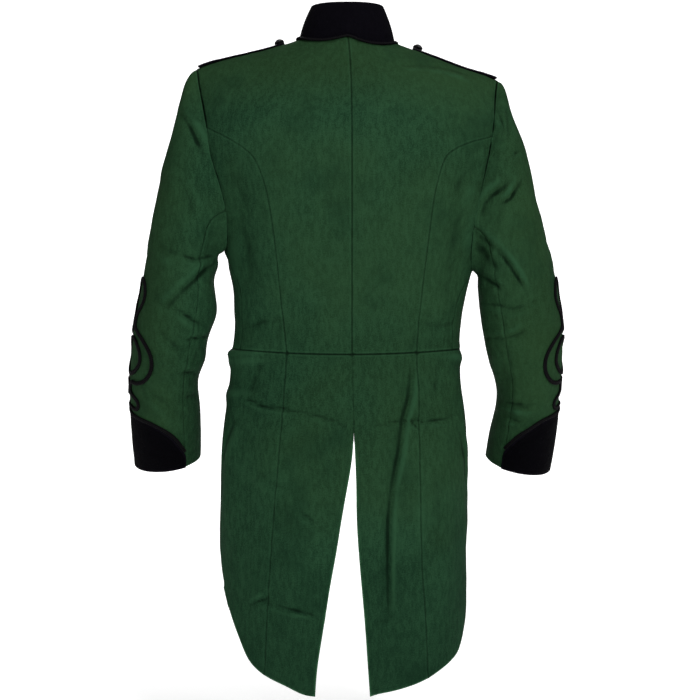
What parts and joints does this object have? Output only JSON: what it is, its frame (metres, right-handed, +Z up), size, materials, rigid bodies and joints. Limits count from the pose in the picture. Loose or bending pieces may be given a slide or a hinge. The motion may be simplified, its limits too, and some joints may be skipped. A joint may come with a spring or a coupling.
{
  "type": "tailcoat jacket",
  "caption": "Bandsman's tailcoat of cotton drill with stand collar, pointed cuffs, cord knots on the sleeves, cut-away tails and a back vent, in its worn form.",
  "frame": {"origin": "between the shoulders inside the coat, level with the foot of the collar at the nape, where the wearer's shoulders hold it up", "axes": "+Z up, the wearer faces -Y, +X is the wearer's left"},
  "size_m": [0.6686, 0.2589, 1.0236],
  "materials": {
    "green_drill": "matt cotton drill, dark bottle green",
    "black_drill": "matt cotton drill, black",
    "black_cord": "round braided cord, black",
    "black_button": "plain dome, satin black"
  },
  "bodies": {
    "root": {"back_left": "green_drill", "side_back_left": "green_drill", "front_left": "green_drill", "tail_back_left": "green_drill", "tail_side_left": "green_drill", "sleeve_upper_left": "green_drill", "sleeve_under_left": "green_drill", "cuff_left": "black_drill", "shoulder_strap_left": "black_drill", "cuff_cord_left": "black_cord", "sleeve_knot_left": "black_cord", "sleeve_leaf_left": "black_cord", "strap_button_left": "black_button", "back_right": "green_drill", "side_back_right": "green_drill", "front_right": "green_drill", "tail_back_right": "green_drill", "tail_side_right": "green_drill", "sleeve_upper_right": "green_drill", "sleeve_under_right": "green_drill", "cuff_right": "black_drill", "shoulder_strap_right": "black_drill", "cuff_cord_right": "black_cord", "sleeve_knot_right": "black_cord", "sleeve_leaf_right": "black_cord", "strap_button_right": "black_button", "collar": "black_drill", "collar_cord": "black_cord", "front_button_1": "black_button", "front_button_2": "black_button", "front_button_3": "black_button", "front_button_4": "black_button", "front_button_5": "black_button", "front_button_6": "black_button", "front_button_7": "black_button"}
  },
  "joints": []
}
